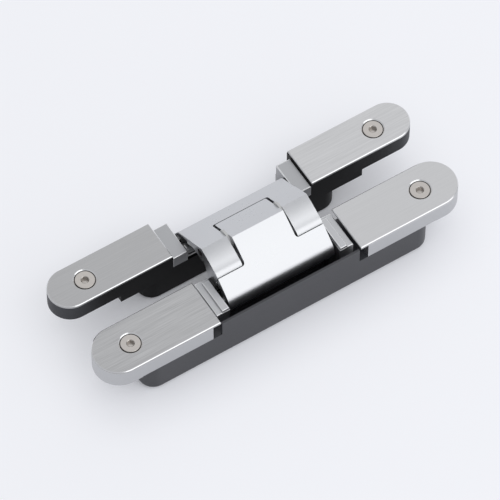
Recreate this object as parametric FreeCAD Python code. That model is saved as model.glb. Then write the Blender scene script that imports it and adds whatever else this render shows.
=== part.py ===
import FreeCAD, Part
import math
import os

# Concealed door hinge, open flat at 180 degrees.
# X runs along the hinge, +Y points to the frame leaf, +Z is up.
# The origin is the middle of the footprint, at the housings' bottom.

V = FreeCAD.Vector

# Leaves
HINGE_LENGTH = 180.0
DOOR_WIDTH = 23.4
FRAME_WIDTH = 19.8
LEAF_GAP = 15.6
LEAF_DEPTH = 26.5
FLANGE_DEPTH = 10.0

# Cover plates
COVER_THICK = 1.3
COVER_INNER_X = 35.1
COVER_CHAMFER = 0.35

# Cover screws, M5 countersunk with a 3 mm hexagon
SCREW_FROM_END = 17.4
SCREW_SHANK_R = 2.45
SCREW_HEAD_R = 4.55
SCREW_HEAD_RIM = 0.3
SCREW_SINK = 0.3
SCREW_LENGTH = 8.4
SCREW_HEX_FLATS = 3.0
SCREW_HEX_DEPTH = 1.9
SINK_R = 5.15
TAP_CLEARANCE = 0.05

# How far a cut runs past the faces that it opens
CUT_PAST = 1.0

# Wood screw holes in the end flanges
FIXING_FROM_END = 8.0
FIXING_R = 2.4
FIXING_SINK_R = 4.6

# Door housing and its sliding end blocks
DOOR_BODY_FROM_END = 18.25
DOOR_WALL_END_X = 34.5
DOOR_BLOCK_INNER_X = 38.9
PLAN_RADIUS = 7.0
BOTTOM_FILLET = 2.5
HEIGHT_TRAVEL = 1.5
TENON_WIDTH = 8.0
TENON_HEIGHT = 1.8
TENON_INNER_X = 42.0
TENON_END_GAP = 1.0
SLIDE_CLEARANCE = 0.1
SEAT_PAD_THICK = 0.3
SEAT_PAD_GAP = 0.35

# Height clamping screws, M5 cap heads under the door covers
CLAMP_SHANK_R = 2.45
CLAMP_HEAD_R = 4.25
CLAMP_HEAD_HEIGHT = 4.6
CLAMP_SINK = 0.4
CLAMP_DEPTH = 8.0
CLAMP_HEX_FLATS = 4.0
CLAMP_HEX_DEPTH = 2.4
CLAMP_SIDE_CLEARANCE = 0.3

# Frame housing, a stepped casting
FRAME_BODY_HALF = 49.0
FRAME_STEP_HALF = 61.0
FRAME_STEP_DEPTH = 14.5
FRAME_BOTTOM_FILLET = 1.5

# Pockets for the arms
FLOOR_THICK = 1.4
WALL_THICK = 1.5
DOOR_OUTER_WALL = 1.0
LOW_WALL_DEPTH = 9.0
WINDOW_DEPTH = 20.5
WINDOW_PAST_ARMS = 3.4
WINDOW_CORNER_R = 2.5
RIM_DEPTH = 1.5
POCKET_SIDE_CLEARANCE = 0.05

# Bearing blocks
BEARING_INNER_X = 27.6
DOOR_BEARING_END_X = 34.3
DOOR_BEARING_FROM_BACK = 4.8
DOOR_BEARING_DEPTH = 1.3
DOOR_BEARING_STEP_X = 31.4
DOOR_BEARING_STEP_DEPTH = 2.4
FRAME_BEARING_END_X = 34.8
FRAME_BEARING_FROM_BACK = 2.6
FRAME_BEARING_DEPTH = 2.4
BEARING_CHAMFER = 0.25

# Mechanism, seen along X. Heights are above the leaves' faces.
LINK_HALF = 26.3
TONGUE_HALF = 12.75
KNUCKLE_INNER = 13.9
FRAME_PIVOT_FROM_EDGE = 2.5
DOOR_PIVOT_FROM_EDGE = 2.7
PIVOT_DEPTH = 5.0
CENTRE_RISE = 6.2
CLOSED_GAP = 5.5
PIN_R = 1.8
PIN_CLEARANCE = 0.05
EYE_R = 3.1
EYE_WEB = 2.0
SLIDE_EYE_R = 2.8
SLIDE_PIN_R = 1.6
SLIDE_FROM_PIVOT = 7.8
SLIDE_DEPTH = 7.5
BUSH_R = 2.5
GROOVE_CLEARANCE = 0.15
PIN_SEAT = 4.6
SLIDE_SEAT = 5.5
SPACER_R = 3.0
SPACER_CLEARANCE = 0.1
WASHER_R = 4.2
WASHER_CLEARANCE = 0.07
PIN_INSET = 0.8
PIN_CHAMFER = 0.3
GROOVE_POINTS = 9

# Arm outlines, seen along X
PLATE_ANGLE = 32.2
PLATE_REAR_REACH = 17.9
PLATE_REAR_RISE = -1.5
PLATE_THICK = 3.0
FOLD_REACH = -1.35
HOOD_FOLD_REACH = -4.0
TONGUE_REACH = 9.95
TONGUE_GAP = 0.4
KNUCKLE_TOP_MID_REACH = -6.3
KNUCKLE_TOP_MID_RISE = 8.85
KNUCKLE_TOP_END_REACH = -11.2
KNUCKLE_TOP_END_RISE = 6.6
KNUCKLE_BEND_REACH = -12.35
KNUCKLE_BEND_RISE = 5.8
NOSE_TOP_REACH = -12.95
NOSE_TOP_RISE = 4.5
NOSE_R = 14.4
NOSE_GAP = 0.4
NOSE_LOW_ANGLE = 200.0
HOOD_MID_REACH = -14.9
HOOD_MID_RISE = 4.6
HOOD_EDGE_REACH = -21.8
HOOD_EDGE_RISE = -1.3
HOOD_CURL_REACH = -24.6
HOOD_CURL_RISE = -4.2
HOOD_END_REACH = -24.2
HOOD_END_RISE = -7.6
HUB_R = 4.4
SWEEP_GAP = 0.3
SWEEP_START = 205.0
SWEEP_END = 285.0
ARM_EDGE_FILLET = 0.35
NOTCH_CORNER_R = 1.4
KNUCKLE_CORNER_R = 1.2
TONGUE_CORNER_R = 0.6

# Values worked out from the sizes above
HALF_LENGTH = HINGE_LENGTH / 2
LEAF_SPACING = DOOR_WIDTH / 2 + LEAF_GAP + FRAME_WIDTH / 2
DOOR_BEARING_WIDTH = DOOR_WIDTH - DOOR_BEARING_FROM_BACK
FRAME_BEARING_WIDTH = FRAME_WIDTH - FRAME_BEARING_FROM_BACK
SCREW_X = HALF_LENGTH - SCREW_FROM_END
FIXING_X = HALF_LENGTH - FIXING_FROM_END
DOOR_BODY_HALF = HALF_LENGTH - DOOR_BODY_FROM_END
CLAMP_X = (DOOR_BLOCK_INNER_X + SCREW_X - SINK_R) / 2
DOOR_Y = -(2 * LEAF_SPACING + FRAME_WIDTH - DOOR_WIDTH) / 4
FRAME_Y = DOOR_Y + LEAF_SPACING
DOOR_EDGE = DOOR_Y + DOOR_WIDTH / 2
FRAME_EDGE = FRAME_Y - FRAME_WIDTH / 2
FACE = LEAF_DEPTH
PIVOT_REACH = (FRAME_PIVOT_FROM_EDGE + LEAF_GAP + DOOR_PIVOT_FROM_EDGE) / 2
FRAME_PIVOT = (FRAME_EDGE + FRAME_PIVOT_FROM_EDGE, FACE - PIVOT_DEPTH)
MID_Y = FRAME_PIVOT[0] - PIVOT_REACH
DOOR_PIVOT = (MID_Y - PIVOT_REACH, FACE - PIVOT_DEPTH)
CENTRE = (MID_Y, FACE + CENTRE_RISE)
SLIDE_Y = FRAME_PIVOT[0] + SLIDE_FROM_PIVOT
DOOR_ARM_SLIDE = (SLIDE_Y, FACE - SLIDE_DEPTH)
FRAME_ARM_SLIDE = (2 * MID_Y - SLIDE_Y, FACE - SLIDE_DEPTH)

ARM_RISE = CENTRE_RISE + PIVOT_DEPTH
ARM_LENGTH = math.hypot(PIVOT_REACH, ARM_RISE)
CLOSED_HALF = CLOSED_GAP / 2 + PIVOT_DEPTH
OPEN_ANGLE = math.atan2(ARM_RISE, -PIVOT_REACH)
CLOSED_ANGLE = math.asin(CLOSED_HALF / ARM_LENGTH)
PIVOT_SWING = OPEN_ANGLE - CLOSED_ANGLE
CENTRE_SWING = 2 * PIVOT_SWING - math.pi

COVER_BOTTOM = FACE - COVER_THICK
FLANGE_BOTTOM = FACE - FLANGE_DEPTH
SWEEP_R = ARM_LENGTH + EYE_R + SWEEP_GAP
SWEEP_LOW_R = ARM_LENGTH - EYE_R - SWEEP_GAP


def turn(point, centre, angle):
    # Turns a (y, z) point about another, anticlockwise seen with Y to the right
    dy = point[0] - centre[0]
    dz = point[1] - centre[1]
    y = centre[0] + dy * math.cos(angle) - dz * math.sin(angle)
    z = centre[1] + dy * math.sin(angle) + dz * math.cos(angle)
    return (y, z)


def polar(centre, radius, degrees):
    a = math.radians(degrees)
    return (centre[0] + radius * math.cos(a), centre[1] + radius * math.sin(a))


def at(reach, rise):
    # A point of the mechanism, given from its middle plane and the leaves' faces
    return (MID_Y + reach, FACE + rise)


def yz(point, x=0.0):
    return V(x, point[0], point[1])


def outline(start, steps):
    # A closed face in the YZ plane. A step is an end point, or a point on the arc and its end
    edges = []
    here = start
    for step in steps:
        if len(step) == 2 and isinstance(step[0], tuple):
            middle, end = step
            edges.append(Part.Arc(yz(here), yz(middle), yz(end)).toShape())
        else:
            end = step
            edges.append(Part.LineSegment(yz(here), yz(end)).toShape())
        here = end
    if yz(here).distanceToPoint(yz(start)) > 1e-6:
        edges.append(Part.LineSegment(yz(here), yz(start)).toShape())
    return Part.Face(Part.Wire(edges))


def across(face, x0, x1):
    # Pulls a YZ face along X, from x0 to x1
    solid = face.extrude(V(x1 - x0, 0, 0))
    solid.translate(V(x0, 0, 0))
    return solid


def rod(centre, radius, x0, x1):
    return Part.makeCylinder(radius, x1 - x0, yz(centre, x0), V(1, 0, 0))


def rounded_rod(centre, radius, x0, x1, corner):
    # A rod with its rim at x0 rounded
    solid = rod(centre, radius, x0, x1)
    rim = [e for e in solid.Edges if abs(e.BoundBox.XMax - x0) < 1e-6]
    return solid.makeFillet(corner, rim)


def box(x0, x1, y0, y1, z0, z1):
    return Part.makeBox(x1 - x0, y1 - y0, z1 - z0, V(x0, y0, z0))


def mirrored(shape):
    # The same piece at the other end of the hinge
    return shape.mirror(V(0, 0, 0), V(1, 0, 0))


def other_leaf(shape):
    # The same form reflected in the middle plane of the mechanism
    return shape.mirror(V(0, MID_Y, 0), V(0, 1, 0))


def sector(centre, inner, outer, start, end, x0, x1):
    # A stretch of ring about an axis along X
    middle = (start + end) / 2
    face = outline(
        polar(centre, inner, start),
        [
            polar(centre, outer, start),
            (polar(centre, outer, middle), polar(centre, outer, end)),
            polar(centre, inner, end),
            (polar(centre, inner, middle), polar(centre, inner, start)),
        ],
    )
    return across(face, x0, x1)


def rounded_box(x0, x1, y0, y1, z0, z1, radius):
    # A box with its upright edges rounded
    solid = box(x0, x1, y0, y1, z0, z1)
    upright = [e for e in solid.Edges if abs(e.tangentAt(e.FirstParameter).z) > 0.99]
    return solid.makeFillet(radius, upright)


def ease_ends(solid, points, planes, radius=ARM_EDGE_FILLET):
    # Rounds the outline's edges that pass through these points, in these planes across X
    found = []
    for x in planes:
        for point in points:
            spot = Part.Vertex(yz(point, x))
            for edge in solid.Edges:
                if edge.BoundBox.XLength < 1e-6 and edge.distToShape(spot)[0] < 1e-6:
                    found.append(edge)
    return solid.makeFillet(radius, found)


def edges_at_height(solid, z):
    return [e for e in solid.Edges if abs(e.BoundBox.ZMin - z) < 1e-5 and abs(e.BoundBox.ZMax - z) < 1e-5]


def leaf_end(centre_y, width, inner_x, z0, z1):
    # A bar from inner_x to the right end of the hinge, with a full round end
    radius = width / 2
    round_x = HALF_LENGTH - radius
    edges = [
        Part.LineSegment(V(inner_x, centre_y - radius, z0), V(round_x, centre_y - radius, z0)).toShape(),
        Part.Arc(
            V(round_x, centre_y - radius, z0),
            V(HALF_LENGTH, centre_y, z0),
            V(round_x, centre_y + radius, z0),
        ).toShape(),
        Part.LineSegment(V(round_x, centre_y + radius, z0), V(inner_x, centre_y + radius, z0)).toShape(),
        Part.LineSegment(V(inner_x, centre_y + radius, z0), V(inner_x, centre_y - radius, z0)).toShape(),
    ]
    return Part.Face(Part.Wire(edges)).extrude(V(0, 0, z1 - z0))


def hexagon(x, y, z, flats, depth):
    # A hexagon socket going down from z
    radius = flats / math.sqrt(3)
    corners = []
    for k in range(7):
        a = math.radians(60 * k)
        corners.append(V(x + radius * math.cos(a), y + radius * math.sin(a), z))
    return Part.Face(Part.makePolygon(corners)).extrude(V(0, 0, -depth))


def screw_sink(y):
    # The countersink and tapped hole of a cover screw
    cone = Part.makeCone(0, SINK_R, SINK_R, V(SCREW_X, y, FACE - SINK_R))
    hole_r = SCREW_SHANK_R + TAP_CLEARANCE
    hole = Part.makeCylinder(hole_r, SCREW_LENGTH, V(SCREW_X, y, FACE - SCREW_LENGTH))
    return cone.fuse(hole)


def fixing_hole(y, low):
    # A countersunk wood screw hole through an end flange, down to low
    hole = Part.makeCylinder(FIXING_R, COVER_BOTTOM - low, V(FIXING_X, y, low))
    sink = Part.makeCone(0, FIXING_SINK_R, FIXING_SINK_R, V(FIXING_X, y, COVER_BOTTOM - FIXING_SINK_R))
    return hole.fuse(sink)


def cover(y, width):
    plate = leaf_end(y, width, COVER_INNER_X, COVER_BOTTOM, FACE)
    plate = plate.makeChamfer(COVER_CHAMFER, edges_at_height(plate, FACE))
    return plate.cut(screw_sink(y))


def cover_screw(y):
    top = FACE - SCREW_SINK
    rim_bottom = top - SCREW_HEAD_RIM
    cone_height = SCREW_HEAD_R - SCREW_SHANK_R
    cone_bottom = rim_bottom - cone_height
    low = FACE - SCREW_LENGTH + TAP_CLEARANCE
    place = V(SCREW_X, y, 0)
    rim = Part.makeCylinder(SCREW_HEAD_R, SCREW_HEAD_RIM, place + V(0, 0, rim_bottom))
    cone = Part.makeCone(SCREW_SHANK_R, SCREW_HEAD_R, cone_height, place + V(0, 0, cone_bottom))
    shank = Part.makeCylinder(SCREW_SHANK_R, cone_bottom - low, place + V(0, 0, low))
    screw = shank.fuse([cone, rim]).removeSplitter()
    return screw.cut(hexagon(SCREW_X, y, top, SCREW_HEX_FLATS, SCREW_HEX_DEPTH))


def clamp_screw():
    head_top = COVER_BOTTOM - CLAMP_SINK
    head_low = head_top - CLAMP_HEAD_HEIGHT
    low = FLANGE_BOTTOM - CLAMP_DEPTH
    head = Part.makeCylinder(CLAMP_HEAD_R, CLAMP_HEAD_HEIGHT, V(CLAMP_X, DOOR_Y, head_low))
    shank = Part.makeCylinder(CLAMP_SHANK_R, head_low - low, V(CLAMP_X, DOOR_Y, low))
    screw = head.fuse(shank).removeSplitter()
    return screw.cut(hexagon(CLAMP_X, DOOR_Y, head_top, CLAMP_HEX_FLATS, CLAMP_HEX_DEPTH))


def slot(radius, z0, z1):
    # A lengthways slot for the clamping screw, long enough for the height travel
    side = radius + CLAMP_SIDE_CLEARANCE
    reach = HEIGHT_TRAVEL + CLAMP_SIDE_CLEARANCE
    left = Part.makeCylinder(side, z1 - z0, V(CLAMP_X - reach, DOOR_Y, z0))
    right = Part.makeCylinder(side, z1 - z0, V(CLAMP_X + reach, DOOR_Y, z0))
    middle = box(CLAMP_X - reach, CLAMP_X + reach, DOOR_Y - side, DOOR_Y + side, z0, z1)
    return left.fuse([right, middle]).removeSplitter()


def door_block():
    # The block slides on the housing, and its end stands on a pad in the door's mortise
    block = leaf_end(DOOR_Y, DOOR_WIDTH, DOOR_BLOCK_INNER_X, FLANGE_BOTTOM, COVER_BOTTOM)
    pad_bottom = FLANGE_BOTTOM - SEAT_PAD_THICK
    pad_start = DOOR_BODY_HALF + HEIGHT_TRAVEL + SEAT_PAD_GAP
    block = block.fuse(leaf_end(DOOR_Y, DOOR_WIDTH, pad_start, pad_bottom, FLANGE_BOTTOM)).removeSplitter()
    half = TENON_WIDTH / 2 + SLIDE_CLEARANCE
    groove_end = SCREW_X
    groove_low = FLANGE_BOTTOM - CUT_PAST
    groove_top = FLANGE_BOTTOM + TENON_HEIGHT + SLIDE_CLEARANCE
    head_low = COVER_BOTTOM - CLAMP_SINK - CLAMP_HEAD_HEIGHT
    block = block.cut(
        [
            box(DOOR_BLOCK_INNER_X - CUT_PAST, groove_end, DOOR_Y - half, DOOR_Y + half, groove_low, groove_top),
            slot(CLAMP_SHANK_R, FLANGE_BOTTOM, COVER_BOTTOM),
            slot(CLAMP_HEAD_R, head_low, COVER_BOTTOM),
            screw_sink(DOOR_Y),
            fixing_hole(DOOR_Y, pad_bottom),
        ]
    )
    return block


def door_housing():
    y0 = DOOR_Y - DOOR_WIDTH / 2
    y1 = DOOR_EDGE
    body = rounded_box(-DOOR_BODY_HALF, DOOR_BODY_HALF, y0, y1, 0, FLANGE_BOTTOM, PLAN_RADIUS)
    body = body.makeFillet(BOTTOM_FILLET, edges_at_height(body, 0))
    root = FLANGE_BOTTOM - CUT_PAST
    wall_top = FACE - RIM_DEPTH
    outer_wall = box(-DOOR_WALL_END_X, DOOR_WALL_END_X, y0, y0 + DOOR_OUTER_WALL, root, wall_top)
    low_top = FACE - LOW_WALL_DEPTH
    inner_wall = box(-DOOR_WALL_END_X, DOOR_WALL_END_X, y1 - WALL_THICK, y1, root, low_top)
    half = TENON_WIDTH / 2
    tenon_end = SCREW_X - SCREW_SHANK_R - HEIGHT_TRAVEL - TENON_END_GAP
    tenon_top = FLANGE_BOTTOM + TENON_HEIGHT
    tenon = box(TENON_INNER_X, tenon_end, DOOR_Y - half, DOOR_Y + half, root, tenon_top)
    body = body.fuse([outer_wall, inner_wall, tenon, mirrored(tenon)]).removeSplitter()
    hole = Part.makeCylinder(
        CLAMP_SHANK_R + TAP_CLEARANCE,
        CLAMP_DEPTH + TENON_HEIGHT + TAP_CLEARANCE,
        V(CLAMP_X, DOOR_Y, FLANGE_BOTTOM - CLAMP_DEPTH - TAP_CLEARANCE),
    )
    inside = DOOR_WIDTH - DOOR_OUTER_WALL
    pocket = arm_pocket(DOOR_EDGE, -1, inside, DOOR_BEARING_WIDTH, DOOR_BEARING_END_X)
    return body.cut([hole, mirrored(hole), pocket])


def leaf_box(edge, side, x0, x1, u0, u1, z0, z1):
    # A box measured across a leaf from its inner edge. side is +1 where the leaf
    # lies to the +Y side of that edge, and -1 otherwise
    ya = edge + side * u0
    yb = edge + side * u1
    return box(x0, x1, min(ya, yb), max(ya, yb), z0, z1)


def arm_pocket(edge, side, reach, bearing_width, bearing_end):
    # The room for the arms and the bearing blocks, open at the top, with a low
    # wall at the leaf's inner edge, where the arms swing out
    gap = POCKET_SIDE_CLEARANCE
    top = FACE + CUT_PAST
    end_x = bearing_end + gap
    arms = leaf_box(edge, side, -BEARING_INNER_X, BEARING_INNER_X, WALL_THICK, reach, FLOOR_THICK, top)
    seats = leaf_box(edge, side, -end_x, end_x, WALL_THICK, bearing_width + gap, FLOOR_THICK, top)
    lowered = leaf_box(edge, side, -end_x, end_x, -CUT_PAST, WALL_THICK + CUT_PAST, FACE - LOW_WALL_DEPTH, top)
    return arms.fuse([seats, lowered]).removeSplitter()


def frame_housing():
    y0 = FRAME_EDGE
    y1 = FRAME_EDGE + FRAME_WIDTH
    joined = FLANGE_BOTTOM + CUT_PAST
    body = rounded_box(-FRAME_BODY_HALF, FRAME_BODY_HALF, y0, y1, 0, joined, PLAN_RADIUS)
    body = body.makeFillet(FRAME_BOTTOM_FILLET, edges_at_height(body, 0))
    step = box(-FRAME_STEP_HALF, FRAME_STEP_HALF, y0, y1, FACE - FRAME_STEP_DEPTH, joined)
    flange = leaf_end(FRAME_Y, FRAME_WIDTH, 0, FLANGE_BOTTOM, COVER_BOTTOM)
    body = body.fuse([step, flange, mirrored(flange)]).removeSplitter()
    end_x = FRAME_BEARING_END_X + POCKET_SIDE_CLEARANCE
    pocket = arm_pocket(FRAME_EDGE, 1, FRAME_WIDTH - WALL_THICK, FRAME_BEARING_WIDTH, FRAME_BEARING_END_X)
    inside = y1 - WALL_THICK - CUT_PAST
    past_ends = box(-end_x, end_x, inside, y1 + CUT_PAST, FACE - LOW_WALL_DEPTH, FACE + CUT_PAST)
    holes = [screw_sink(FRAME_Y), fixing_hole(FRAME_Y, FLANGE_BOTTOM)]
    holes = holes + [mirrored(h) for h in holes]
    return body.cut([pocket, outer_window(y1), past_ends] + holes)


def outer_window(y1):
    # The opening in the frame housing's outer wall that the arms reach through
    half = BEARING_INNER_X + WINDOW_PAST_ARMS
    low = FACE - WINDOW_DEPTH
    window = box(-half, half, y1 - WALL_THICK - CUT_PAST, y1 + CUT_PAST, low, FACE + CUT_PAST)
    corners = [e for e in edges_at_height(window, low) if abs(e.tangentAt(e.FirstParameter).y) > 0.99]
    return window.makeFillet(WINDOW_CORNER_R, corners)


def slide_path(fraction):
    # Where the door arm's slide pin is in the frame leaf, for a fraction of the closing travel
    point = turn(DOOR_ARM_SLIDE, CENTRE, CENTRE_SWING * fraction)
    return turn(point, FRAME_PIVOT, -PIVOT_SWING * fraction)


def guide_groove(x0, x1):
    # The curved groove that the slide pin's bush follows in the frame leaf
    half = BUSH_R + GROOVE_CLEARANCE
    small = 1e-3
    sides = ([], [])
    for k in range(GROOVE_POINTS):
        t = k / (GROOVE_POINTS - 1)
        here = slide_path(t)
        before = slide_path(t - small)
        after = slide_path(t + small)
        length = math.hypot(after[0] - before[0], after[1] - before[1])
        ahead = ((after[0] - before[0]) / length, (after[1] - before[1]) / length)
        sides[0].append(yz((here[0] - ahead[1] * half, here[1] + ahead[0] * half)))
        sides[1].append(yz((here[0] + ahead[1] * half, here[1] - ahead[0] * half)))
        if k == 0:
            start_tip = yz((here[0] - ahead[0] * half, here[1] - ahead[1] * half))
        end_tip = yz((here[0] + ahead[0] * half, here[1] + ahead[1] * half))
    left = Part.BSplineCurve()
    left.interpolate(sides[0])
    right = Part.BSplineCurve()
    right.interpolate(sides[1][::-1])
    edges = [
        left.toShape(),
        Part.Arc(sides[0][-1], end_tip, sides[1][-1]).toShape(),
        right.toShape(),
        Part.Arc(sides[1][0], start_tip, sides[0][0]).toShape(),
    ]
    return across(Part.Face(Part.Wire(edges)), x0, x1)


def bearing(block, pivot, groove):
    # The fixed pin sits in the block, and the other arm's slide pin runs in its groove
    past = BEARING_INNER_X - CUT_PAST
    pin_hole = rod(pivot, PIN_R + PIN_CLEARANCE, past, BEARING_INNER_X + PIN_SEAT)
    return block.cut([pin_hole, groove])


def bearing_block(edge, side, end_x, width, top):
    # A block in the housing's pocket, whose head reaches over the low wall to the leaf's edge
    inner = WALL_THICK + POCKET_SIDE_CLEARANCE
    body = leaf_box(edge, side, BEARING_INNER_X, end_x, inner, width, FLOOR_THICK, top)
    head = leaf_box(edge, side, BEARING_INNER_X, end_x, 0, width, FACE - LOW_WALL_DEPTH, top)
    block = body.fuse(head).removeSplitter()
    return block.makeChamfer(BEARING_CHAMFER, edges_at_height(block, top))


def door_bearing_block():
    # The door leaf's blocks have a raised pad between the arms and the step to the covers
    block = bearing_block(DOOR_EDGE, -1, DOOR_BEARING_END_X, DOOR_BEARING_WIDTH, FACE - DOOR_BEARING_STEP_DEPTH)
    outer = DOOR_BEARING_WIDTH - BEARING_CHAMFER
    x0 = BEARING_INNER_X + BEARING_CHAMFER
    low = FACE - DOOR_BEARING_STEP_DEPTH - BEARING_CHAMFER
    top = FACE - DOOR_BEARING_DEPTH
    pad = leaf_box(DOOR_EDGE, -1, x0, DOOR_BEARING_STEP_X, WALL_THICK, outer, low, top)
    pad = pad.makeChamfer(BEARING_CHAMFER, edges_at_height(pad, top))
    return block.fuse(pad).removeSplitter()


def plate_point(reach, depth=0.0):
    # A point on the arms' flat outer face, or a depth below it
    slope = math.tan(math.radians(PLATE_ANGLE))
    rise = PLATE_REAR_RISE + (PLATE_REAR_REACH - reach) * slope
    y, z = at(reach, rise)
    a = math.radians(PLATE_ANGLE)
    return (y - depth * math.sin(a), z - depth * math.cos(a))


def door_arm():
    # The plate on the frame side, and two knuckles that end on the door leaf's fixed pin
    rear = plate_point(PLATE_REAR_REACH)
    fold = plate_point(FOLD_REACH)
    fold_low = plate_point(FOLD_REACH, PLATE_THICK)
    eye = DOOR_ARM_SLIDE
    tip = polar(eye, SLIDE_EYE_R, 15)
    plate = outline(
        rear,
        [
            fold,
            fold_low,
            plate_point(PLATE_REAR_REACH - PLATE_THICK, PLATE_THICK),
            polar(eye, SLIDE_EYE_R, 195),
            (polar(eye, SLIDE_EYE_R, 285), tip),
        ],
    )
    plate = across(plate, -LINK_HALF, LINK_HALF)
    plate = ease_ends(plate, [plate_point(TONGUE_REACH)], (-LINK_HALF, LINK_HALF))
    notch_edge = plate_point(TONGUE_REACH + TONGUE_GAP)
    notch = outline(
        notch_edge,
        [
            plate_point(TONGUE_REACH + TONGUE_GAP, 2 * PLATE_THICK),
            plate_point(FOLD_REACH - HUB_R, 3 * PLATE_THICK),
            plate_point(FOLD_REACH - HUB_R, -PLATE_THICK),
            plate_point(TONGUE_REACH + TONGUE_GAP, -PLATE_THICK),
        ],
    )
    notch = across(notch, -KNUCKLE_INNER, KNUCKLE_INNER)
    notch_corner = plate_point(TONGUE_REACH + TONGUE_GAP, PLATE_THICK)
    notch = ease_ends(notch, [notch_corner], (-KNUCKLE_INNER, KNUCKLE_INNER), TONGUE_CORNER_R + TONGUE_GAP)
    plate = plate.cut(notch)

    hub_low = polar(CENTRE, HUB_R, 300)
    knuckle = outline(
        fold,
        [
            (at(KNUCKLE_TOP_MID_REACH, KNUCKLE_TOP_MID_RISE), at(KNUCKLE_TOP_END_REACH, KNUCKLE_TOP_END_RISE)),
            (at(KNUCKLE_BEND_REACH, KNUCKLE_BEND_RISE), at(NOSE_TOP_REACH, NOSE_TOP_RISE)),
            polar(CENTRE, NOSE_R, NOSE_LOW_ANGLE),
            polar(DOOR_PIVOT, EYE_R, 165),
            (polar(DOOR_PIVOT, EYE_R, 240), polar(DOOR_PIVOT, EYE_R, 315)),
            polar(CENTRE, HUB_R, 225),
            (polar(CENTRE, HUB_R, 262), hub_low),
            plate_point(FOLD_REACH + 2 * HUB_R, PLATE_THICK),
            plate_point(FOLD_REACH + 2 * HUB_R),
        ],
    )
    reach = across(knuckle, KNUCKLE_INNER, LINK_HALF)
    nose_keep = rounded_rod(CENTRE, NOSE_R, KNUCKLE_INNER, LINK_HALF + CUT_PAST, KNUCKLE_CORNER_R)
    eye_keep = rod(DOOR_PIVOT, EYE_R + EYE_WEB, KNUCKLE_INNER - CUT_PAST, LINK_HALF + CUT_PAST)
    reach = reach.common(nose_keep.fuse(eye_keep))
    arm = plate.fuse([reach, mirrored(reach)]).removeSplitter()
    past = LINK_HALF + CUT_PAST
    swept = other_leaf(sector(CENTRE, SWEEP_LOW_R, SWEEP_R, SWEEP_START, SWEEP_END, -past, past))
    cuts = [
        swept,
        rod(CENTRE, PIN_R + PIN_CLEARANCE, -past, past),
        rod(DOOR_PIVOT, PIN_R + PIN_CLEARANCE, -past, past),
        rod(DOOR_ARM_SLIDE, SLIDE_PIN_R, -past, past),
    ]
    for cut in cuts:
        arm = arm.cut(cut)
    return arm


def frame_arm():
    # The hood on the door side, and the tongue that ends on the frame leaf's fixed pin
    tongue = plate_point(TONGUE_REACH)
    tongue_low = plate_point(TONGUE_REACH, PLATE_THICK)
    fold = plate_point(HOOD_FOLD_REACH)
    edge = at(HOOD_EDGE_REACH, HOOD_EDGE_RISE)
    curl = at(HOOD_CURL_REACH, HOOD_CURL_RISE)
    end = at(HOOD_END_REACH, HOOD_END_RISE)
    eye = FRAME_ARM_SLIDE
    profile = outline(
        tongue,
        [
            fold,
            (at(HOOD_MID_REACH, HOOD_MID_RISE), edge),
            (curl, end),
            polar(eye, SLIDE_EYE_R, 250),
            (polar(eye, SLIDE_EYE_R, 305), polar(eye, SLIDE_EYE_R, 0)),
            polar(CENTRE, HUB_R, 250),
            polar(FRAME_PIVOT, EYE_R, 190),
            (polar(FRAME_PIVOT, EYE_R, 300), polar(FRAME_PIVOT, EYE_R, 58)),
            tongue_low,
        ],
    )
    arm = across(profile, -LINK_HALF, LINK_HALF)
    notch_r = NOSE_R + NOSE_GAP
    past = LINK_HALF + CUT_PAST
    knuckle_room = rounded_rod(CENTRE, notch_r, TONGUE_HALF, past, NOTCH_CORNER_R)
    beyond = box(TONGUE_HALF, past, MID_Y - HUB_R, MID_Y + SWEEP_R, 0, FACE + ARM_LENGTH)
    swept = sector(CENTRE, SWEEP_LOW_R, SWEEP_R, SWEEP_START, SWEEP_END, -past, past)
    knuckle_swept = sector(CENTRE, HUB_R, SWEEP_R, SWEEP_START, SWEEP_END, TONGUE_HALF, past)
    cuts = [
        beyond,
        mirrored(beyond),
        knuckle_room,
        mirrored(knuckle_room),
        swept,
        knuckle_swept,
        mirrored(knuckle_swept),
        rod(CENTRE, PIN_R + PIN_CLEARANCE, -past, past),
        rod(FRAME_PIVOT, PIN_R + PIN_CLEARANCE, -past, past),
        rod(FRAME_ARM_SLIDE, SLIDE_PIN_R, -past, past),
    ]
    for cut in cuts:
        arm = arm.cut(cut)
    tongue_corner = plate_point(TONGUE_REACH, PLATE_THICK / 2)
    return ease_ends(arm, [tongue_corner], (-TONGUE_HALF, TONGUE_HALF), TONGUE_CORNER_R)


def tube(centre, outer, inner, x0, x1):
    return rod(centre, outer, x0, x1).cut(rod(centre, inner, x0, x1))


def chamfered_pin(centre, radius, half):
    pin = rod(centre, radius, -half, half)
    ends = [e for e in pin.Edges if e.BoundBox.XLength < 1e-6]
    return pin.makeChamfer(PIN_CHAMFER, ends)


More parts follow.
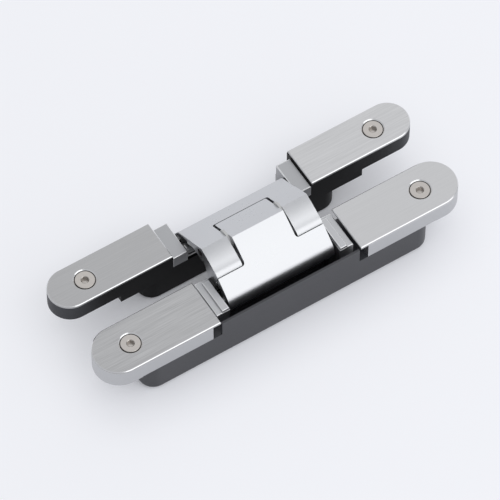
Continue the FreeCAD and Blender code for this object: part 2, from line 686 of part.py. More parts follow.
def build():
    parts = {}
    pin_end = BEARING_INNER_X + PIN_SEAT - SPACER_CLEARANCE
    slide_end = BEARING_INNER_X + SLIDE_SEAT
    bore = PIN_R + PIN_CLEARANCE
    bush_start = BEARING_INNER_X - PIN_INSET
    washer_start = TONGUE_HALF + WASHER_CLEARANCE
    spacer_end = BEARING_INNER_X - SPACER_CLEARANCE
    groove = guide_groove(BEARING_INNER_X - CUT_PAST, FRAME_BEARING_END_X + CUT_PAST)
    frame_top = FACE - FRAME_BEARING_DEPTH
    frame_block = bearing_block(FRAME_EDGE, 1, FRAME_BEARING_END_X, FRAME_BEARING_WIDTH, frame_top)
    bearings = {
        "frame_bearing": bearing(frame_block, FRAME_PIVOT, groove),
        "door_bearing": bearing(door_bearing_block(), DOOR_PIVOT, other_leaf(groove)),
    }
    pairs = {
        "frame_cover": cover(FRAME_Y, FRAME_WIDTH),
        "frame_cover_screw": cover_screw(FRAME_Y),
        "door_cover": cover(DOOR_Y, DOOR_WIDTH),
        "door_cover_screw": cover_screw(DOOR_Y),
        "door_block": door_block(),
        "height_clamp_screw": clamp_screw(),
        "frame_arm_bush": tube(FRAME_ARM_SLIDE, BUSH_R, SLIDE_PIN_R, bush_start, slide_end),
        "door_arm_bush": tube(DOOR_ARM_SLIDE, BUSH_R, SLIDE_PIN_R, bush_start, slide_end),
        "centre_washer": tube(CENTRE, WASHER_R, bore, washer_start, KNUCKLE_INNER - WASHER_CLEARANCE),
        "frame_pivot_spacer": tube(FRAME_PIVOT, SPACER_R, bore, TONGUE_HALF + SPACER_CLEARANCE, spacer_end),
        "door_pivot_washer": tube(DOOR_PIVOT, SPACER_R, bore, LINK_HALF + SPACER_CLEARANCE, spacer_end),
    }
    pairs.update(bearings)
    for name, shape in pairs.items():
        parts[name + "_right"] = shape
        parts[name + "_left"] = mirrored(shape)
    spacer_half = KNUCKLE_INNER - SPACER_CLEARANCE
    parts["door_pivot_spacer"] = tube(DOOR_PIVOT, SPACER_R, bore, -spacer_half, spacer_half)
    parts["frame_housing"] = frame_housing()
    parts["door_housing"] = door_housing()
    parts["frame_arm"] = frame_arm()
    parts["door_arm"] = door_arm()
    parts["frame_pivot_pin"] = chamfered_pin(FRAME_PIVOT, PIN_R, pin_end)
    parts["door_pivot_pin"] = chamfered_pin(DOOR_PIVOT, PIN_R, pin_end)
    parts["centre_pin"] = chamfered_pin(CENTRE, PIN_R, LINK_HALF - PIN_INSET)
    parts["frame_arm_slide_pin"] = chamfered_pin(FRAME_ARM_SLIDE, SLIDE_PIN_R, slide_end)
    parts["door_arm_slide_pin"] = chamfered_pin(DOOR_ARM_SLIDE, SLIDE_PIN_R, slide_end)
    return parts


os.makedirs("parts", exist_ok=True)
for node, solid in build().items():
    solid.exportStep("parts/" + node + ".step")
    print(node, len(solid.Solids), round(solid.Volume, 1), solid.isValid())
swings = (math.degrees(PIVOT_SWING), math.degrees(CENTRE_SWING))
print("Each leaf turns %.4f degrees on its arm, and the arms %.4f" % swings)
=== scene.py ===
import math

import bmesh
import bpy
from mathutils import Matrix, Vector


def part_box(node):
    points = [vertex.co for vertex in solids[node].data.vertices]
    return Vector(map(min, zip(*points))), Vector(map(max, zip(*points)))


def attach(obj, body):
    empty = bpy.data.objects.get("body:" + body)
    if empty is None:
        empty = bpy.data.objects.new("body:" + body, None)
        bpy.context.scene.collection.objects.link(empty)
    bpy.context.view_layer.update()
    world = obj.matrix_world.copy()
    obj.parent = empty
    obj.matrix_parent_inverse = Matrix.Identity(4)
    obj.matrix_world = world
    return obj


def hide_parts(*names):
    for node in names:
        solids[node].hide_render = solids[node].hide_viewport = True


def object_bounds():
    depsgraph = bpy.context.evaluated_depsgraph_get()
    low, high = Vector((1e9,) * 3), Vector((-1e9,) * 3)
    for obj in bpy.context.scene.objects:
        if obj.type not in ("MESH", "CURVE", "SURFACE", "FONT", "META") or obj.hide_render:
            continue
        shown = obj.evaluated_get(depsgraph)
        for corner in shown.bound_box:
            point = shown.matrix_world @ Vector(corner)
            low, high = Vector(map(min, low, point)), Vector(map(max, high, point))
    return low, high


# The hinge lies open and flat, 180 mm long along X, with the door leaf towards -Y
# and the frame leaf towards +Y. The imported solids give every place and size.
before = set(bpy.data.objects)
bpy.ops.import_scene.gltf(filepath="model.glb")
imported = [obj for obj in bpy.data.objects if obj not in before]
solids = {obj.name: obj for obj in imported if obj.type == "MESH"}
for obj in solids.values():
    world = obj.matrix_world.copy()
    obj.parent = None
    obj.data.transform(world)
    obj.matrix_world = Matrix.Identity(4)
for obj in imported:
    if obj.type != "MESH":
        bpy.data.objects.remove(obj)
cad_low, cad_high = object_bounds()
scene = bpy.context.scene
scene.view_settings.view_transform = "Standard"


# The door housing is a zinc casting in the door's mortise, bolted through its ends.
# It is coated dark grey, and its edges are a little rounded.
def node_tree(material):
    material.use_nodes = True
    tree = material.node_tree
    shader = tree.nodes["Principled BSDF"]
    return tree, shader


def place_group(tree, group, **values):
    node = tree.nodes.new("ShaderNodeGroup")
    node.node_tree = group
    for name, value in values.items():
        node.inputs[name.replace("_", " ")].default_value = value
    return node


def cast_skin_group():
    # The skin of a die casting: fine orange peel, and a slow drift in tone and gloss
    group = bpy.data.node_groups.new("cast skin", "ShaderNodeTree")
    face = group.interface
    for name, value in (
        ("Peel scale", 1400.0),
        ("Drift scale", 45.0),
        ("Tone change", 0.08),
        ("Roughness", 0.45),
        ("Roughness change", 0.08),
        ("Peel height", 0.00001),
    ):
        socket = face.new_socket(name, in_out="INPUT", socket_type="NodeSocketFloat")
        socket.default_value = value
    colour = face.new_socket("Colour", in_out="INPUT", socket_type="NodeSocketColor")
    colour.default_value = (0.5, 0.5, 0.5, 1)
    face.new_socket("Colour", in_out="OUTPUT", socket_type="NodeSocketColor")
    face.new_socket("Roughness", in_out="OUTPUT", socket_type="NodeSocketFloat")
    face.new_socket("Normal", in_out="OUTPUT", socket_type="NodeSocketVector")
    nodes, link = group.nodes, group.links.new
    given, out = nodes.new("NodeGroupInput"), nodes.new("NodeGroupOutput")
    place = nodes.new("ShaderNodeTexCoord")
    peel = nodes.new("ShaderNodeTexNoise")
    peel.inputs["Detail"].default_value = 2.0
    drift = nodes.new("ShaderNodeTexNoise")
    drift.inputs["Detail"].default_value = 3.0
    link(place.outputs["Object"], peel.inputs["Vector"])
    link(place.outputs["Object"], drift.inputs["Vector"])
    link(given.outputs["Peel scale"], peel.inputs["Scale"])
    link(given.outputs["Drift scale"], drift.inputs["Scale"])
    both = nodes.new("ShaderNodeMath")
    both.operation = "ADD"
    link(peel.outputs["Fac"], both.inputs[0])
    link(drift.outputs["Fac"], both.inputs[1])
    centred = nodes.new("ShaderNodeMath")
    centred.operation = "SUBTRACT"
    link(both.outputs[0], centred.inputs[0])
    centred.inputs[1].default_value = 1.0
    tone = nodes.new("ShaderNodeMath")
    tone.operation = "MULTIPLY_ADD"
    link(centred.outputs[0], tone.inputs[0])
    link(given.outputs["Tone change"], tone.inputs[1])
    tone.inputs[2].default_value = 1.0
    tinted = nodes.new("ShaderNodeVectorMath")
    tinted.operation = "SCALE"
    link(given.outputs["Colour"], tinted.inputs[0])
    link(tone.outputs[0], tinted.inputs["Scale"])
    rough = nodes.new("ShaderNodeMath")
    rough.operation = "MULTIPLY_ADD"
    link(centred.outputs[0], rough.inputs[0])
    link(given.outputs["Roughness change"], rough.inputs[1])
    link(given.outputs["Roughness"], rough.inputs[2])
    bump = nodes.new("ShaderNodeBump")
    bump.inputs["Strength"].default_value = 1.0
    link(given.outputs["Peel height"], bump.inputs["Distance"])
    link(peel.outputs["Fac"], bump.inputs["Height"])
    link(tinted.outputs[0], out.inputs["Colour"])
    link(rough.outputs[0], out.inputs["Roughness"])
    link(bump.outputs["Normal"], out.inputs["Normal"])
    return group


cast_skin = cast_skin_group()


def casting(name, colour, metallic, roughness, peel_height, tone_change=0.08, specular=0.5):
    material = bpy.data.materials.new(name)
    tree, shader = node_tree(material)
    skin = place_group(
        tree,
        cast_skin,
        Roughness=roughness,
        Peel_height=peel_height,
        Tone_change=tone_change,
        Colour=(*colour, 1),
    )
    tree.links.new(skin.outputs["Colour"], shader.inputs["Base Color"])
    tree.links.new(skin.outputs["Roughness"], shader.inputs["Roughness"])
    tree.links.new(skin.outputs["Normal"], shader.inputs["Normal"])
    shader.inputs["Metallic"].default_value = metallic
    shader.inputs["Specular IOR Level"].default_value = specular
    material.diffuse_color = (*colour, 1)
    return material


weld_distance = 2e-7


def merged(node):
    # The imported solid's mesh as one closed skin, with its flat faces whole
    work = bmesh.new()
    work.from_mesh(solids[node].data)
    bmesh.ops.remove_doubles(work, verts=work.verts, dist=weld_distance)
    flat_faces_whole(work)
    return work


def flat_faces_whole(work):
    # Joins the triangles of each flat face, where they differ by at most 0.6 degrees
    bmesh.ops.dissolve_limit(work, angle_limit=math.radians(0.6), verts=work.verts, edges=work.edges)


sharp_angle = math.radians(28)


def shape_object(name, work, *materials):
    # A bmesh as an object of the scene, smooth but for its sharp edges
    mesh = bpy.data.meshes.new(name)
    work.to_mesh(mesh)
    work.free()
    for stored in ("custom_normal", "sharp_face"):
        if stored in mesh.attributes:
            mesh.attributes.remove(mesh.attributes[stored])
    for material in materials:
        mesh.materials.append(material)
    mesh.shade_smooth()
    mesh.set_sharp_from_angle(angle=sharp_angle)
    piece = bpy.data.objects.new(name, mesh)
    scene.collection.objects.link(piece)
    return piece


def replace_node(piece, body, slot, *nodes):
    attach(piece, body)
    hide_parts(*nodes)


def ease_edges(piece, width, segments=2, edge_slot=-1):
    # Rounds the piece's sharp edges by width, in metres
    bevel = piece.modifiers.new("eased edges", "BEVEL")
    bevel.width = width
    bevel.segments = segments
    bevel.limit_method = "ANGLE"
    bevel.angle_limit = sharp_angle
    bevel.harden_normals = True
    bevel.miter_outer = "MITER_ARC"
    bevel.material = edge_slot


dark_grey_coat = casting("dark grey coat", (0.042, 0.043, 0.049), 0.0, 0.42, 0.000012)
door_housing = shape_object("door_housing_eased", merged("door_housing"), dark_grey_coat)
ease_edges(door_housing, 0.0005)
replace_node(door_housing, "door_leaf", "grey_casting", "door_housing")


# The frame housing is a stepped zinc casting in the frame's mortise, bolted through
# its ends. Its coat is a deeper black and reflects less.
black_coat = casting("black coat", (0.007, 0.007, 0.0075), 0.0, 0.45, 0.000008, specular=0.12)


def painted_reflection_ends(material, grey, from_x, to_x):
    # A painted reflection: the coat's colour turns grey towards both ends
    tree, shader = node_tree(material)
    skin = shader.inputs["Base Color"].links[0].from_node
    place = tree.nodes.new("ShaderNodeTexCoord")
    parts = tree.nodes.new("ShaderNodeSeparateXYZ")
    outwards = tree.nodes.new("ShaderNodeMath")
    outwards.operation = "ABSOLUTE"
    spread = tree.nodes.new("ShaderNodeMapRange")
    spread.interpolation_type = "SMOOTHSTEP"
    spread.inputs["From Min"].default_value, spread.inputs["From Max"].default_value = from_x, to_x
    mixed = tree.nodes.new("ShaderNodeMix")
    mixed.data_type = "RGBA"
    colours = [socket for socket in mixed.inputs if socket.type == "RGBA"]
    colours[0].default_value = skin.inputs["Colour"].default_value
    colours[1].default_value = (*grey, 1)
    tree.links.new(place.outputs["Object"], parts.inputs[0])
    tree.links.new(parts.outputs["X"], outwards.inputs[0])
    tree.links.new(outwards.outputs[0], spread.inputs["Value"])
    tree.links.new(spread.outputs["Result"], mixed.inputs[0])
    result = [socket for socket in mixed.outputs if socket.type == "RGBA"][0]
    tree.links.new(result, skin.inputs["Colour"])


# Painted reflection: the housing's black coat is painted grey towards both ends
painted_reflection_ends(black_coat, (0.06, 0.062, 0.068), 0.066, 0.089)


def block(low, high):
    # A box between two corners, as a bmesh
    work = bmesh.new()
    size = Vector(high) - Vector(low)
    middle = (Vector(high) + Vector(low)) / 2
    place = Matrix.Translation(middle) @ Matrix.Diagonal((*size, 1))
    bmesh.ops.create_cube(work, size=1, matrix=place)
    return work


def cut_away(work, other):
    # The first shape less the second, as a new bmesh
    body, tool = shape_object("body", work), shape_object("tool", other)
    change = body.modifiers.new("cut", "BOOLEAN")
    change.operation = "DIFFERENCE"
    change.solver = "EXACT"
    change.object = tool
    whole = bpy.data.meshes.new_from_object(body.evaluated_get(bpy.context.evaluated_depsgraph_get()))
    for used in (body, tool):
        bpy.data.objects.remove(used)
    result = bmesh.new()
    result.from_mesh(whole)
    bpy.data.meshes.remove(whole)
    bmesh.ops.remove_doubles(result, verts=result.verts, dist=weld_distance)
    flat_faces_whole(result)
    return result


# A leaf of metal 0.05 mm thick stands behind each bearing and is cut away here
housing_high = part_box("frame_housing")[1]
bearing_low, bearing_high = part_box("frame_bearing_left")
bearing_gap = 0.00005
low_wall_depth = 0.0077
cut_thickness = 0.00015
cut_past_top = 0.001
end_x = -bearing_low.x + bearing_gap
cut_low = (-end_x, bearing_high.y, housing_high.z - low_wall_depth)
cut_high = (end_x, bearing_high.y + cut_thickness, housing_high.z + cut_past_top)
frame_skin = cut_away(merged("frame_housing"), block(cut_low, cut_high))
frame_housing = shape_object("frame_housing_eased", frame_skin, black_coat)
ease_edges(frame_housing, 0.00025)
replace_node(frame_housing, "frame_leaf", "black_casting", "frame_housing")


# The end blocks slide on the door housing, and the bearing blocks sit in both
# housings. All are zinc castings with a satin silver plating.
silver_casting = casting("silver casting", (0.47, 0.475, 0.485), 1.0, 0.45, 0.000008, 0.05)
pale_casting = casting("pale casting", (0.56, 0.565, 0.575), 1.0, 0.42, 0.000008, 0.05)
painted_highlight_edge = casting("painted highlight edge", (0.86, 0.86, 0.865), 1.0, 0.22, 0.000002, 0.03)


def painted_highlight_edged(node, body, material, width):
    # A casting with its edges rounded by width, and painted brighter there than its faces, a painted
    # highlight
    piece = shape_object(node + "_eased", merged(node), material, painted_highlight_edge)
    ease_edges(piece, width, edge_slot=1)
    replace_node(piece, body, "silver_casting", node)


for side in ("left", "right"):
    painted_highlight_edged("door_block_" + side, "door_mounting", pale_casting, 0.00025)
    painted_highlight_edged("door_bearing_" + side, "door_leaf", pale_casting, 0.00028)
    painted_highlight_edged("frame_bearing_" + side, "frame_leaf", silver_casting, 0.00028)


# The pins and the clamping screws under the covers are bright steel. The bushes and
# washers between the moving pieces are acetal, white at the centre pin, else black.
bright_steel = casting("bright steel", (0.62, 0.62, 0.62), 1.0, 0.24, 0.000002, 0.03)
black_acetal = casting("black acetal", (0.02, 0.02, 0.021), 0.0, 0.5, 0.000004)


def finish_solid(node, material):
    data = solids[node].data
    data.materials.clear()
    data.materials.append(material)


for node in (
    "frame_pivot_pin",
    "door_pivot_pin",
    "frame_arm_slide_pin",
    "door_arm_slide_pin",
    "frame_pivot_spacer_left",
    "frame_pivot_spacer_right",
    "door_pivot_spacer",
    "height_clamp_screw_left",
    "height_clamp_screw_right",
):
    finish_solid(node, bright_steel)
for node in (
    "frame_arm_bush_left",
    "frame_arm_bush_right",
    "door_arm_bush_left",
    "door_arm_bush_right",
    "door_pivot_washer_left",
    "door_pivot_washer_right",
):
    finish_solid(node, black_acetal)

# The centre pin's ends are domed and stand a little further in than the solid's
pin_shape = merged("centre_pin")
pin_recess = 0.0001
for corner in pin_shape.verts:
    corner.co.x -= math.copysign(pin_recess, corner.co.x)
centre_pin = shape_object("centre_pin_domed", pin_shape, bright_steel)
ease_edges(centre_pin, 0.0007, segments=4)
replace_node(centre_pin, "door_arm", "bright_steel", "centre_pin")
white_acetal = casting("white acetal", (0.62, 0.62, 0.61), 0.0, 0.45, 0.000004)
for node in ("centre_washer_left", "centre_washer_right"):
    finish_solid(node, white_acetal)


# The two arms are castings plated in satin chrome. The hood and its tongue are one
# arm, and the plate with its two knuckles is the other. The centre pin joins them.
satin_chrome = casting("satin chrome", (0.70, 0.708, 0.722), 1.0, 0.30, 0.000004, 0.04)

# The hood runs out in a wide even curve, which ends upright beside the pivot
curl_radius = 0.009
curl_middle_y = -0.0136
curl_middle_z = 0.019
curl_start = -0.0184
hood = merged("frame_arm")
for corner in hood.verts:
    rise = corner.co.z - curl_middle_z
    if corner.co.y < curl_start and 0 < rise < curl_radius:
        corner.co.y = max(corner.co.y, curl_middle_y - math.sqrt(curl_radius ** 2 - rise ** 2))
frame_arm = shape_object("frame_arm_eased", hood, satin_chrome)
ease_edges(frame_arm, 0.0003)
replace_node(frame_arm, "frame_arm", "polished_arm", "frame_arm")

# Close to the notch the knuckles' fronts stand further forward than the packed
# solid's. Each pair is a height and the move along Y there, in millimetres.
nose_fullness = (
    (27.8, 0.0),
    (31.0, -1.3),
    (31.3, -1.15),
    (31.7, -1.0),
    (32.0, -0.8),
    (32.3, -0.6),
    (32.5, -0.5),
    (32.8, -0.1),
    (33.1, 0.0),
)
nose_start = -0.0094


def nose_growth(height):
    # The move of a knuckle's front along Y at a height, both in metres
    for (z0, y0), (z1, y1) in zip(nose_fullness, nose_fullness[1:]):
        if z0 <= height * 1000 <= z1:
            return (y0 + (y1 - y0) * (height * 1000 - z0) / (z1 - z0)) / 1000
    return 0.0


knuckles = merged("door_arm")
for corner in knuckles.verts:
    if corner.co.y < nose_start:
        corner.co.y += nose_growth(corner.co.z)

# The faces of the bores round the centre pin's ends are painted dark, a painted shade in the recesses
pin_low, pin_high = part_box("centre_pin")
pin_middle = (pin_low + pin_high) / 2
bore_margin = 0.0004
outer_part_x = 0.02
bore_radius = (pin_high.z - pin_low.z) / 2 + bore_margin
for face in knuckles.faces:
    place = face.calc_center_median() - pin_middle
    near_axis = math.hypot(place.y, place.z) < bore_radius
    if near_axis and abs(place.x) > outer_part_x and abs(face.normal.x) < 0.5:
        face.material_index = 1
painted_shade_bore = casting("painted shade bore", (0.03, 0.028, 0.026), 0.5, 0.5, 0.000003)
door_arm = shape_object("door_arm_eased", knuckles, satin_chrome, painted_shade_bore, painted_highlight_edge)
# Its rounded edges are painted brighter than its faces, a painted highlight
ease_edges(door_arm, 0.0003, edge_slot=2)
replace_node(door_arm, "door_arm", "polished_arm", "door_arm")


# The four covers are steel plates, brushed along their length, with a painted highlight on the chamfer round
# the top. One countersunk screw holds each.
def brushed_group():
    # Brush marks along X: long thin streaks in tone, gloss and height
    group = bpy.data.node_groups.new("brush marks", "ShaderNodeTree")
    face = group.interface
    for name, value in (
        ("Streak length", 0.02),
        ("Streak width", 0.0003),
        ("Tone change", 0.2),
        ("Roughness", 0.35),
        ("Roughness change", 0.15),
        ("Mark depth", 0.00001),
    ):
        socket = face.new_socket(name, in_out="INPUT", socket_type="NodeSocketFloat")
        socket.default_value = value
    colour = face.new_socket("Colour", in_out="INPUT", socket_type="NodeSocketColor")
    colour.default_value = (0.5, 0.5, 0.5, 1)
    face.new_socket("Colour", in_out="OUTPUT", socket_type="NodeSocketColor")
    face.new_socket("Roughness", in_out="OUTPUT", socket_type="NodeSocketFloat")
    face.new_socket("Normal", in_out="OUTPUT", socket_type="NodeSocketVector")
    nodes, link = group.nodes, group.links.new
    given, out = nodes.new("NodeGroupInput"), nodes.new("NodeGroupOutput")
    place = nodes.new("ShaderNodeTexCoord")
    size = nodes.new("ShaderNodeCombineXYZ")
    link(given.outputs["Streak length"], size.inputs["X"])
    link(given.outputs["Streak width"], size.inputs["Y"])
    link(given.outputs["Streak width"], size.inputs["Z"])
    scaled = nodes.new("ShaderNodeVectorMath")
    scaled.operation = "DIVIDE"
    link(place.outputs["Object"], scaled.inputs[0])
    link(size.outputs[0], scaled.inputs[1])
    streaks = nodes.new("ShaderNodeTexNoise")
    streaks.inputs["Scale"].default_value = 1.0
    streaks.inputs["Detail"].default_value = 3.0
    streaks.inputs["Roughness"].default_value = 0.65
    link(scaled.outputs[0], streaks.inputs["Vector"])
    centred = nodes.new("ShaderNodeMath")
    centred.operation = "SUBTRACT"
    link(streaks.outputs["Fac"], centred.inputs[0])
    centred.inputs[1].default_value = 0.5
    tone = nodes.new("ShaderNodeMath")
    tone.operation = "MULTIPLY_ADD"
    link(centred.outputs[0], tone.inputs[0])
    link(given.outputs["Tone change"], tone.inputs[1])
    tone.inputs[2].default_value = 1.0
    tinted = nodes.new("ShaderNodeVectorMath")
    tinted.operation = "SCALE"
    link(given.outputs["Colour"], tinted.inputs[0])
    link(tone.outputs[0], tinted.inputs["Scale"])
    rough = nodes.new("ShaderNodeMath")
    rough.operation = "MULTIPLY_ADD"
    link(centred.outputs[0], rough.inputs[0])
    link(given.outputs["Roughness change"], rough.inputs[1])
    link(given.outputs["Roughness"], rough.inputs[2])
    bump = nodes.new("ShaderNodeBump")
    bump.inputs["Strength"].default_value = 1.0
    link(given.outputs["Mark depth"], bump.inputs["Distance"])
    link(streaks.outputs["Fac"], bump.inputs["Height"])
    link(tinted.outputs[0], out.inputs["Colour"])
    link(rough.outputs[0], out.inputs["Roughness"])
    link(bump.outputs["Normal"], out.inputs["Normal"])
    return group


brush_marks = brushed_group()


def brushed_cover(node, body, tone, streaks):
    # Tone and strength of the marks are given for each cover; the tones are painted light, lighter on the
    # right covers and darker on the left ones
    material = bpy.data.materials.new("brushed steel " + node)
    tree, shader = node_tree(material)
    colour = (tone, tone, tone * 1.005, 1)
    marks = place_group(tree, brush_marks, Colour=colour, Roughness=0.38, Tone_change=streaks)
    for name in ("Roughness", "Normal"):
        tree.links.new(marks.outputs[name], shader.inputs[name])
    tree.links.new(marks.outputs["Colour"], shader.inputs["Base Color"])
    shader.inputs["Metallic"].default_value = 1.0
    work = merged(node)

    # Its slopes are painted bright down to this depth, a painted highlight, and the countersink is painted
    # dark below, a painted shade
    painted_highlight_depth = 0.00045
    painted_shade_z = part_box(node)[1].z - painted_highlight_depth
    everything = work.verts[:] + work.edges[:] + work.faces[:]
    bmesh.ops.bisect_plane(work, geom=everything, plane_co=(0, 0, painted_shade_z), plane_no=(0, 0, 1))
    bmesh.ops.triangulate(work, faces=[face for face in work.faces if len(face.verts) > 4])
    for face in work.faces:
        if 0.3 < face.normal.z < 0.95:
            face.material_index = 2 if face.calc_center_median().z < painted_shade_z else 1
    cover = shape_object(node + "_brushed", work, material, painted_highlight_edge, painted_shade_bore)
    replace_node(cover, body, "brushed_plate", node)


# Painted light: the right covers are painted lighter and the left ones darker
brushed_cover("door_cover_left", "door_mounting", 0.49, 0.8)
brushed_cover("door_cover_right", "door_mounting", 0.60, 0.2)
brushed_cover("frame_cover_left", "frame_leaf", 0.47, 0.35)
brushed_cover("frame_cover_right", "frame_leaf", 0.61, 0.5)


# The cover screws are countersunk steel, nickel plated, with a hexagon socket. Two
# hold the door covers to the sliding blocks, and two hold the frame covers.
nickel = casting("nickel", (0.54, 0.51, 0.48), 1.0, 0.3, 0.000003, 0.1)
painted_shade_groove = casting("painted shade groove", (0.03, 0.028, 0.026), 0.5, 0.5, 0.000003)


def screw_tree():
    # A row of countersunk socket screws, along X, their tops at one height
    tree = bpy.data.node_groups.new("countersunk screws", "GeometryNodeTree")
    face = tree.interface
    for name in (
        "Head radius",
        "Rim height",
        "Edge round",
        "Cone height",
        "Shank radius",
        "Shank length",
        "Hexagon radius",
        "Hexagon depth",
        "Mouth width",
        "Half spacing",
        "Row Y",
        "Top Z",
        "Turn",
        "Turn step",
    ):
        face.new_socket(name, in_out="INPUT", socket_type="NodeSocketFloat")
    face.new_socket("Finish", in_out="INPUT", socket_type="NodeSocketMaterial")
    face.new_socket("Geometry", in_out="OUTPUT", socket_type="NodeSocketGeometry")
    nodes, link = tree.nodes, tree.links.new
    given = nodes.new("NodeGroupInput").outputs
    out = nodes.new("NodeGroupOutput")

    def maths(operation, first, second):
        node = nodes.new("ShaderNodeMath")
        node.operation = operation
        for socket, value in zip(node.inputs, (first, second)):
            if isinstance(value, float):
                socket.default_value = value
            else:
                link(value, socket)
        return node.outputs[0]

    def place_z(shape, height):
        at = nodes.new("ShaderNodeCombineXYZ")
        link(height, at.inputs["Z"])
        moved = nodes.new("GeometryNodeTransform")
        link(shape, moved.inputs["Geometry"])
        link(at.outputs[0], moved.inputs["Translation"])
        return moved.outputs[0]

    def drawn(shape, selection, length):
        node = nodes.new("GeometryNodeExtrudeMesh")
        node.mode = "FACES"
        node.inputs["Individual"].default_value = False
        link(shape, node.inputs["Mesh"])
        link(selection, node.inputs["Selection"])
        link(length, node.inputs["Offset Scale"])
        return node.outputs["Mesh"], node.outputs["Top"]

    cone = nodes.new("GeometryNodeMeshCone")
    cone.inputs["Vertices"].default_value = 72
    link(given["Head radius"], cone.inputs["Radius Top"])
    link(given["Shank radius"], cone.inputs["Radius Bottom"])
    link(given["Cone height"], cone.inputs["Depth"])
    shape, top = drawn(cone.outputs["Mesh"], cone.outputs["Top"], given["Rim height"])
    shape, top = drawn(shape, top, given["Edge round"])
    narrower = nodes.new("GeometryNodeScaleElements")
    narrower.domain = "FACE"
    link(shape, narrower.inputs["Geometry"])
    link(top, narrower.inputs["Selection"])
    inner = maths("SUBTRACT", given["Head radius"], given["Edge round"])
    link(maths("DIVIDE", inner, given["Head radius"]), narrower.inputs["Scale"])
    shape = drawn(narrower.outputs[0], cone.outputs["Bottom"], given["Shank length"])[0]
    height = maths("ADD", maths("ADD", given["Cone height"], given["Rim height"]), given["Edge round"])
    shape = place_z(shape, maths("MULTIPLY", height, -1.0))

    socket_hole = nodes.new("GeometryNodeMeshCylinder")
    socket_hole.inputs["Vertices"].default_value = 6
    link(given["Hexagon radius"], socket_hole.inputs["Radius"])
    link(maths("MULTIPLY", given["Hexagon depth"], 2.0), socket_hole.inputs["Depth"])
    mouth = nodes.new("GeometryNodeMeshCone")
    mouth.inputs["Vertices"].default_value = 36
    wide = maths("ADD", given["Hexagon radius"], given["Mouth width"])
    link(wide, mouth.inputs["Radius Top"])
    link(maths("MULTIPLY", wide, 0.5), mouth.inputs["Radius Bottom"])
    link(maths("MULTIPLY", wide, 0.5), mouth.inputs["Depth"])
    mouth_placed = place_z(mouth.outputs["Mesh"], maths("MULTIPLY", wide, -0.45))
    cut = nodes.new("GeometryNodeMeshBoolean")
    cut.operation = "DIFFERENCE"
    link(shape, cut.inputs["Mesh 1"])
    link(socket_hole.outputs["Mesh"], cut.inputs["Mesh 2"])
    link(mouth_placed, cut.inputs["Mesh 2"])

    start = nodes.new("ShaderNodeCombineXYZ")
    link(maths("MULTIPLY", given["Half spacing"], -1.0), start.inputs["X"])
    link(given["Row Y"], start.inputs["Y"])
    link(given["Top Z"], start.inputs["Z"])
    along = nodes.new("ShaderNodeCombineXYZ")
    link(maths("MULTIPLY", given["Half spacing"], 2.0), along.inputs["X"])
    row = nodes.new("GeometryNodeMeshLine")
    row.mode = "OFFSET"
    row.inputs["Count"].default_value = 2
    link(start.outputs[0], row.inputs["Start Location"])
    link(along.outputs[0], row.inputs["Offset"])
    which = nodes.new("GeometryNodeInputIndex")
    turned = nodes.new("ShaderNodeCombineXYZ")
    turn = maths("ADD", maths("MULTIPLY", which.outputs[0], given["Turn step"]), given["Turn"])
    link(turn, turned.inputs["Z"])
    copies = nodes.new("GeometryNodeInstanceOnPoints")
    link(row.outputs["Mesh"], copies.inputs["Points"])
    link(cut.outputs["Mesh"], copies.inputs["Instance"])
    link(turned.outputs[0], copies.inputs["Rotation"])
    real = nodes.new("GeometryNodeRealizeInstances")
    link(copies.outputs[0], real.inputs[0])
    finish = nodes.new("GeometryNodeSetMaterial")
    link(real.outputs[0], finish.inputs["Geometry"])
    link(given["Finish"], finish.inputs["Material"])
    link(finish.outputs[0], out.inputs["Geometry"])
    return tree


countersunk_screws = screw_tree()


def cover_screws(leaf, body, turn, turn_step):
    left, right = leaf + "_cover_screw_left", leaf + "_cover_screw_right"
    low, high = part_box(right)
    head_trim = 0.0002
    head_radius = (high.y - low.y) / 2 - head_trim
    sizes = {
        "Head radius": head_radius,
        "Rim height": 0.00035,
        "Edge round": 0.00015,
        "Cone height": 0.0020,
        "Shank radius": 0.00245,
        "Hexagon radius": 0.0015 / math.cos(math.radians(30)),
        "Hexagon depth": 0.0019,
        "Mouth width": 0.00022,
        "Half spacing": (low.x + high.x) / 2,
        "Row Y": (low.y + high.y) / 2,
        "Top Z": high.z,
        "Turn": math.radians(turn),
        "Turn step": math.radians(turn_step),
        "Finish": nickel,
    }
    sizes["Shank length"] = high.z - low.z - sizes["Rim height"] - sizes["Edge round"] - sizes["Cone height"]
    maker = bpy.data.objects.new("screw maker", bpy.data.meshes.new("screw maker"))
    scene.collection.objects.link(maker)
    row = maker.modifiers.new("screws", "NODES")
    row.node_group = countersunk_screws
    for item in countersunk_screws.interface.items_tree:
        if item.in_out == "INPUT":
            row[item.identifier] = sizes[item.name]
    mesh = bpy.data.meshes.new_from_object(maker.evaluated_get(bpy.context.evaluated_depsgraph_get()))
    bpy.data.objects.remove(maker)
    mesh.name = leaf + "_cover_screws"
    # The rims' sides and the cones under them are painted dark, a painted shade round each head
    mesh.materials.append(painted_shade_groove)
    for side in mesh.polygons:
        x, y = side.center.xy
        from_axis = math.hypot(abs(x) - sizes["Half spacing"], y - sizes["Row Y"])
        if side.normal.z < 0.9 and from_axis > sizes["Shank radius"]:
            side.material_index = 1
    mesh.shade_smooth()
    mesh.set_sharp_from_angle(angle=sharp_angle)
    screws = bpy.data.objects.new(leaf + "_cover_screws", mesh)
    scene.collection.objects.link(screws)
    replace_node(screws, body, "screw_steel", left, right)


cover_screws("door", "door_mounting", 8, 19)
cover_screws("frame", "frame_leaf", 23, -16)


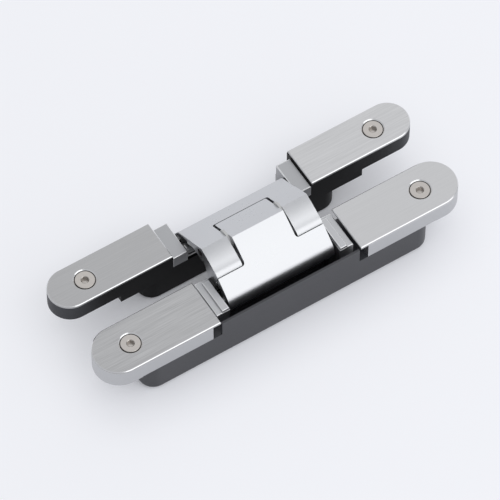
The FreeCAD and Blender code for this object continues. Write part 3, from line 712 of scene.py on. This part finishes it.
# The hinge lies on a pale table top, in the light of two softboxes and an even pale
# world. The camera looks at it from the photograph's angle.
floor_mesh = bpy.data.meshes.new("table top")
work = bmesh.new()
bmesh.ops.create_grid(work, x_segments=1, y_segments=1, size=3.0)
work.to_mesh(floor_mesh)
work.free()
floor = bpy.data.objects.new("table_top", floor_mesh)
scene.collection.objects.link(floor)
floor.location.z = cad_low.z - 0.0002
table_white = bpy.data.materials.new("table white")
tree, shader = node_tree(table_white)
shader.inputs["Base Color"].default_value = (0.94, 0.947, 1.0, 1)
shader.inputs["Roughness"].default_value = 0.7
shader.inputs["Specular IOR Level"].default_value = 0.1

# The camera sees the table partly as plain light, and less of that by the hinge
plain_share = 0.64
shelter_reach = 0.028
backing = tree.nodes.new("ShaderNodeEmission")
backing.inputs["Color"].default_value = (0.955, 0.965, 1.0, 1)
seen = tree.nodes.new("ShaderNodeLightPath")
either = tree.nodes.new("ShaderNodeMath")
either.operation = "MAXIMUM"
any_ray = tree.nodes.new("ShaderNodeMath")
any_ray.operation = "MAXIMUM"
share = tree.nodes.new("ShaderNodeMath")
share.operation = "MULTIPLY"
share.inputs[1].default_value = plain_share
sheltered = tree.nodes.new("ShaderNodeAmbientOcclusion")
sheltered.samples = 16
sheltered.inputs["Distance"].default_value = shelter_reach
open_share = tree.nodes.new("ShaderNodeMath")
open_share.operation = "MULTIPLY"
blend = tree.nodes.new("ShaderNodeMixShader")
tree.links.new(seen.outputs["Is Camera Ray"], either.inputs[0])
tree.links.new(seen.outputs["Is Glossy Ray"], either.inputs[1])
tree.links.new(either.outputs[0], any_ray.inputs[0])
tree.links.new(seen.outputs["Is Transmission Ray"], any_ray.inputs[1])
tree.links.new(any_ray.outputs[0], share.inputs[0])
tree.links.new(share.outputs[0], open_share.inputs[0])
tree.links.new(sheltered.outputs["AO"], open_share.inputs[1])
tree.links.new(open_share.outputs[0], blend.inputs[0])
tree.links.new(shader.outputs[0], blend.inputs[1])
tree.links.new(backing.outputs[0], blend.inputs[2])
tree.links.new(blend.outputs[0], tree.nodes["Material Output"].inputs["Surface"])
floor_mesh.materials.append(table_white)

world = bpy.data.worlds.new("studio")
scene.world = world
world.use_nodes = True
world.node_tree.nodes["Background"].inputs["Color"].default_value = (0.95, 0.965, 1.0, 1)
world.node_tree.nodes["Background"].inputs["Strength"].default_value = 0.55


def softbox(name, direction, distance, width, height, radiance):
    light = bpy.data.lights.new(name, "AREA")
    light.shape = "RECTANGLE"
    light.size, light.size_y = width, height
    light.energy = radiance * math.pi * width * height
    lamp = bpy.data.objects.new(name, light)
    scene.collection.objects.link(lamp)
    away = Vector(direction).normalized()
    lamp.location = away * distance
    lamp.rotation_mode = "QUATERNION"
    lamp.rotation_quaternion = (-away).to_track_quat("-Z", "Y")


softbox("back", (0.45, 0.60, 0.72), 0.9, 1.1, 1.1, 0.45)
softbox("front", (0.2866, -0.72, 0.645), 0.9, 1.1, 1.0, 0.83)

camera_data = bpy.data.cameras.new("photo camera")
camera = bpy.data.objects.new("photo camera", camera_data)
scene.collection.objects.link(camera)
azimuth = math.radians(-32.08)
elevation = math.radians(57.34)
distance = 1.943
looked_at = Vector((-0.00232, 0.0, 0.01699))
across = math.cos(elevation)
back = Vector((across * math.sin(azimuth), -across * math.cos(azimuth), math.sin(elevation)))
camera.location = looked_at + back * distance
camera.rotation_mode = "QUATERNION"
camera.rotation_quaternion = (-back).to_track_quat("-Z", "Y")
sensor_width = 36.0
photo_width = 500
pixels_per_mm = 2.3387
camera_data.sensor_width = sensor_width
camera_data.lens = sensor_width * pixels_per_mm * distance * 1000 / photo_width
camera_data.clip_start, camera_data.clip_end = 0.05, 20.0
scene.camera = camera
